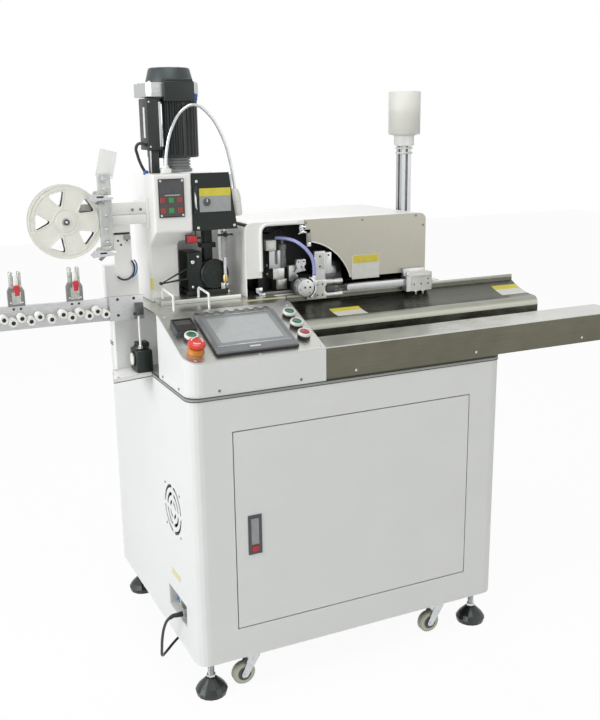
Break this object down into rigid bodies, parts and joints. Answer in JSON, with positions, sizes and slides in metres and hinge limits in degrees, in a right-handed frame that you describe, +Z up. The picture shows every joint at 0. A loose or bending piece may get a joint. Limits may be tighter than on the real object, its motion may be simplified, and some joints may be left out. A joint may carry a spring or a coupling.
{
  "type": "terminal crimping machine",
  "caption": "Cabinet machine that cuts, strips and crimps wire: sloped touch panel, crimping press, reel, cutting head, wire trough and long front rail.",
  "frame": {"origin": "on the floor under the middle of the machine's bounding box", "axes": "+X along the front rail to the right, +Y to the back, +Z up"},
  "size_m": [1.616, 0.8358, 1.4554],
  "materials": {
    "white_paint": "satin powder coat",
    "dark_steel": "satin",
    "stainless": "brushed",
    "aluminium": "machined",
    "zinc": "zinc plated",
    "black_steel": "black oxide",
    "black_plastic": "matte",
    "black_rubber": "matte",
    "grey_plastic": "matte",
    "white_plastic": "gloss",
    "clear_plastic": "clear",
    "hose": "clear",
    "red_plastic": "gloss",
    "green_plastic": "gloss"
  },
  "bodies": {
    "machine": {"cabinet_shell": "white_paint", "foot_frame": "black_rubber", "deck_plate": "dark_steel", "control_gear": "zinc", "fan_frame": "black_plastic", "power_inlet": "grey_plastic", "upper_body": "white_paint", "worktop": "stainless", "touch_screen": "black_plastic", "counter_meter": "black_plastic", "button_rings": "black_plastic", "front_rail": "stainless", "trough": "stainless", "housing_cover": "white_paint", "housing_panel": "stainless", "cutter_frame": "aluminium", "delivery_rail": "aluminium", "press_frame": "white_paint", "press_cover": "black_plastic", "keypad_panel": "black_plastic", "applicator_body": "black_steel", "oil_dropper": "zinc", "press_motor": "black_plastic", "work_lamp": "white_paint", "reel_arm": "white_paint", "tape_guide": "clear_plastic", "feed_panel": "white_paint", "feed_motor": "black_plastic", "wire_straightener": "aluminium", "table_handle_left": "stainless", "table_handle_right": "stainless", "guide_hose": "hose", "flux_post": "aluminium", "flux_jar": "clear_plastic", "mains_cord": "black_rubber", "mains_coil": "black_rubber"},
    "door": {"door": "white_paint", "latch_frame": "grey_plastic"},
    "latch_lever": {"latch_lever": "black_plastic"},
    "latch_button": {"latch_button": "red_plastic"},
    "start_button": {"start_button": "green_plastic"},
    "feed_button": {"feed_button": "green_plastic"},
    "test_button": {"test_button": "green_plastic"},
    "stop_button": {"stop_button": "red_plastic"},
    "emergency_stop": {"emergency_stop": "red_plastic"},
    "press_ram": {"press_ram": "black_steel"},
    "swing_arm": {"swing_arm": "aluminium"},
    "delivery_gripper": {"delivery_gripper": "aluminium"},
    "tape_reel": {"tape_reel": "clear_plastic"},
    "clamp_lever_left": {"clamp_lever_left": "red_plastic"},
    "clamp_lever_right": {"clamp_lever_right": "red_plastic"},
    "fan_rotor": {"fan_rotor": "black_plastic"},
    "caster_fork_front_left": {"caster_fork_front_left": "zinc"},
    "caster_fork_front_right": {"caster_fork_front_right": "zinc"},
    "caster_fork_rear_left": {"caster_fork_rear_left": "zinc"},
    "caster_fork_rear_right": {"caster_fork_rear_right": "zinc"},
    "caster_wheel_front_left": {"caster_wheel_front_left": "white_plastic"},
    "caster_wheel_front_right": {"caster_wheel_front_right": "white_plastic"},
    "caster_wheel_rear_left": {"caster_wheel_rear_left": "white_plastic"},
    "caster_wheel_rear_right": {"caster_wheel_rear_right": "white_plastic"}
  },
  "joints": [
    {"name": "door_hinge", "type": "hinge", "parent": "machine", "child": "door", "pos_m": [0.314, -0.326, 0.176], "axis": [0, 0, 1], "range_deg": [0, 105]},
    {"name": "latch_lever_hinge", "type": "hinge", "parent": "door", "child": "latch_lever", "pos_m": [-0.27, -0.3308, 0.444], "axis": [-1, 0, 0], "range_deg": [0, 45]},
    {"name": "latch_button_slide", "type": "slide", "parent": "door", "child": "latch_button", "axis": [0, 1, 0], "range_m": [0, 0.0025], "stiffness_N_per_m": 200, "springref_m": -0.001},
    {"name": "start_button_slide", "type": "slide", "parent": "machine", "child": "start_button", "axis": [0, 0.3558, -0.9346], "range_m": [0, 0.003], "stiffness_N_per_m": 300, "springref_m": -0.001},
    {"name": "feed_button_slide", "type": "slide", "parent": "machine", "child": "feed_button", "axis": [0, 0.3558, -0.9346], "range_m": [0, 0.003], "stiffness_N_per_m": 300, "springref_m": -0.001},
    {"name": "test_button_slide", "type": "slide", "parent": "machine", "child": "test_button", "axis": [0, 0.3558, -0.9346], "range_m": [0, 0.003], "stiffness_N_per_m": 300, "springref_m": -0.001},
    {"name": "stop_button_slide", "type": "slide", "parent": "machine", "child": "stop_button", "axis": [0, 0.3558, -0.9346], "range_m": [0, 0.003], "stiffness_N_per_m": 300, "springref_m": -0.001},
    {"name": "emergency_stop_slide", "type": "slide", "parent": "machine", "child": "emergency_stop", "axis": [0, 0.3558, -0.9346], "range_m": [0, 0.005]},
    {"name": "press_ram_slide", "type": "slide", "parent": "machine", "child": "press_ram", "axis": [0, 0, 1], "range_m": [-0.03, 0]},
    {"name": "swing_arm_hinge", "type": "hinge", "parent": "machine", "child": "swing_arm", "pos_m": [-0.0105, -0.0545, 0.9203], "axis": [0, -1, 0], "range_deg": [0, 90], "deforming": ["guide_hose"]},
    {"name": "delivery_gripper_slide", "type": "slide", "parent": "machine", "child": "delivery_gripper", "axis": [1, 0, 0], "range_m": [-0.16, 0]},
    {"name": "tape_reel_spin", "type": "hinge", "parent": "machine", "child": "tape_reel", "pos_m": [-0.5856, -0.0085, 1.1123], "axis": [0, 1, 0], "continuous": true},
    {"name": "fan_rotor_spin", "type": "hinge", "parent": "machine", "child": "fan_rotor", "pos_m": [-0.405, -0.1805, 0.438], "axis": [1, 0, 0], "continuous": true},
    {"name": "clamp_lever_left_hinge", "type": "hinge", "parent": "machine", "child": "clamp_lever_left", "pos_m": [-0.71106, -0.0305, 0.9923], "axis": [-1, 0, 0], "range_deg": [0, 110]},
    {"name": "clamp_lever_right_hinge", "type": "hinge", "parent": "machine", "child": "clamp_lever_right", "pos_m": [-0.58009, -0.0305, 0.9923], "axis": [-1, 0, 0], "range_deg": [0, 110]},
    {"name": "caster_swivel_front_left", "type": "hinge", "parent": "machine", "child": "caster_fork_front_left", "pos_m": [-0.266, -0.2905, 0.0924], "axis": [0, 0, 1], "continuous": true},
    {"name": "caster_roll_front_left", "type": "hinge", "parent": "caster_fork_front_left", "child": "caster_wheel_front_left", "pos_m": [-0.294, -0.2905, 0.032], "axis": [0, 1, 0], "continuous": true},
    {"name": "caster_swivel_front_right", "type": "hinge", "parent": "machine", "child": "caster_fork_front_right", "pos_m": [0.266, -0.2905, 0.0924], "axis": [0, 0, 1], "continuous": true},
    {"name": "caster_roll_front_right", "type": "hinge", "parent": "caster_fork_front_right", "child": "caster_wheel_front_right", "pos_m": [0.238, -0.2905, 0.032], "axis": [0, 1, 0], "continuous": true},
    {"name": "caster_swivel_rear_left", "type": "hinge", "parent": "machine", "child": "caster_fork_rear_left", "pos_m": [-0.266, 0.2905, 0.0924], "axis": [0, 0, 1], "continuous": true},
    {"name": "caster_roll_rear_left", "type": "hinge", "parent": "caster_fork_rear_left", "child": "caster_wheel_rear_left", "pos_m": [-0.294, 0.2905, 0.032], "axis": [0, 1, 0], "continuous": true},
    {"name": "caster_swivel_rear_right", "type": "hinge", "parent": "machine", "child": "caster_fork_rear_right", "pos_m": [0.266, 0.2905, 0.0924], "axis": [0, 0, 1], "continuous": true},
    {"name": "caster_roll_rear_right", "type": "hinge", "parent": "caster_fork_rear_right", "child": "caster_wheel_rear_right", "pos_m": [0.238, 0.2905, 0.032], "axis": [0, 1, 0], "continuous": true}
  ]
}
